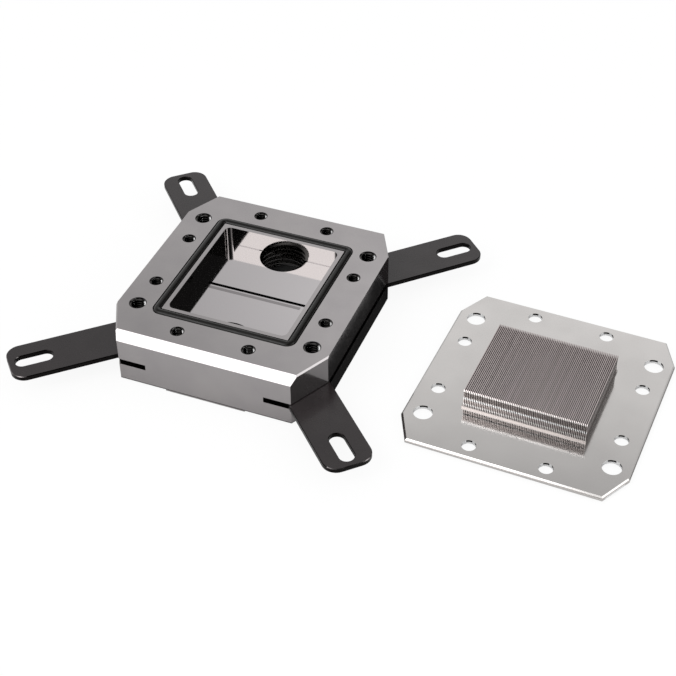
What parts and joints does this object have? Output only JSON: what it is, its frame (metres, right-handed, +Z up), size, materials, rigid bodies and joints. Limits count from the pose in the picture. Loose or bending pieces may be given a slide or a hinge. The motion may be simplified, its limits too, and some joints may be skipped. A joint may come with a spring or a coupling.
{
  "type": "cpu water block",
  "caption": "Open cpu water block: milled housing with cavity, O-ring and pipe ports, slotted bracket plates in its side slots, and a skived-fin cold plate lying beside it.",
  "frame": {"origin": "under the middle of the housing, on the surface that it rests on", "axes": "+Z up, out of the open cavity; +X across the housing, towards the cold plate that lies beside it; +Y along the housing"},
  "size_m": [0.1474, 0.0917, 0.0143],
  "materials": {
    "housing_metal": "milled and polished, grey",
    "ring_rubber": "satin",
    "bracket_black": "satin black coating",
    "plate_nickel": "nickel-plated copper, finely ground"
  },
  "bodies": {
    "root": {"housing": "housing_metal", "o_ring": "ring_rubber", "bracket_left": "bracket_black", "bracket_right": "bracket_black", "cold_plate": "plate_nickel"}
  },
  "joints": []
}
